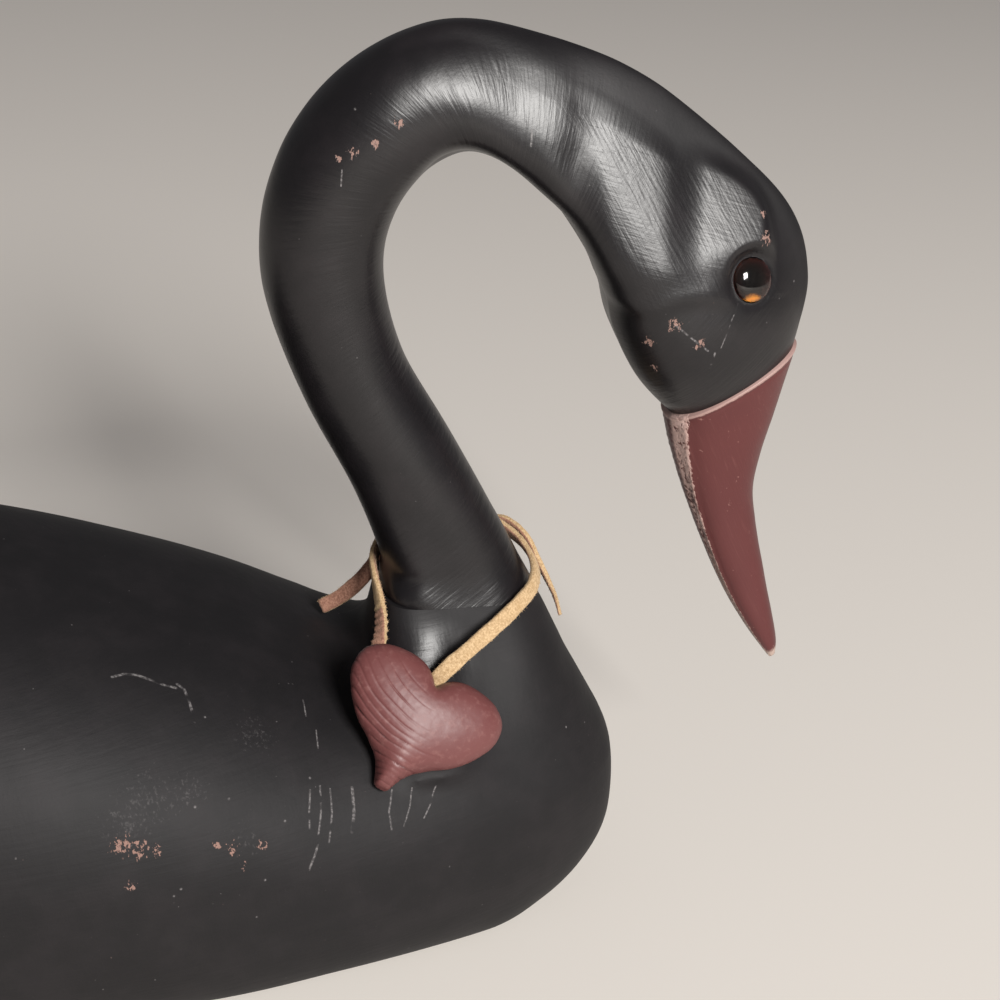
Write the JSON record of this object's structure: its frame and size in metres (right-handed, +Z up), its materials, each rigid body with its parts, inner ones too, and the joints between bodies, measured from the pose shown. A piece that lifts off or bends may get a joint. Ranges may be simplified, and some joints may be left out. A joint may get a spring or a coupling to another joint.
{
  "type": "carved swan decoy",
  "caption": "Folk-carved black wooden swan with an S-shaped neck, maroon bill, glass eyes and a wooden heart on a suede lace; stands on its flat underside as an ornament.",
  "frame": {"origin": "in the flat underside, on the centre line, under the middle of the body", "axes": "+X is the way the swan faces, +Z is up and -Y is its right side"},
  "size_m": [0.4441, 0.1682, 0.2674],
  "materials": {
    "black_wood": "satin black paint, worn and brushed",
    "maroon_wood": "satin maroon paint, worn at the tip",
    "heart_wood": "satin dusty maroon paint over open grain",
    "eye_glass": "polished dark amber glass",
    "suede": "napped tan suede"
  },
  "bodies": {
    "root": {"body": "black_wood", "neck_and_head": "black_wood", "bill": "maroon_wood", "eye_right": "eye_glass", "eye_left": "eye_glass", "heart_pendant": "heart_wood", "suede_lace": "suede"}
  },
  "joints": []
}
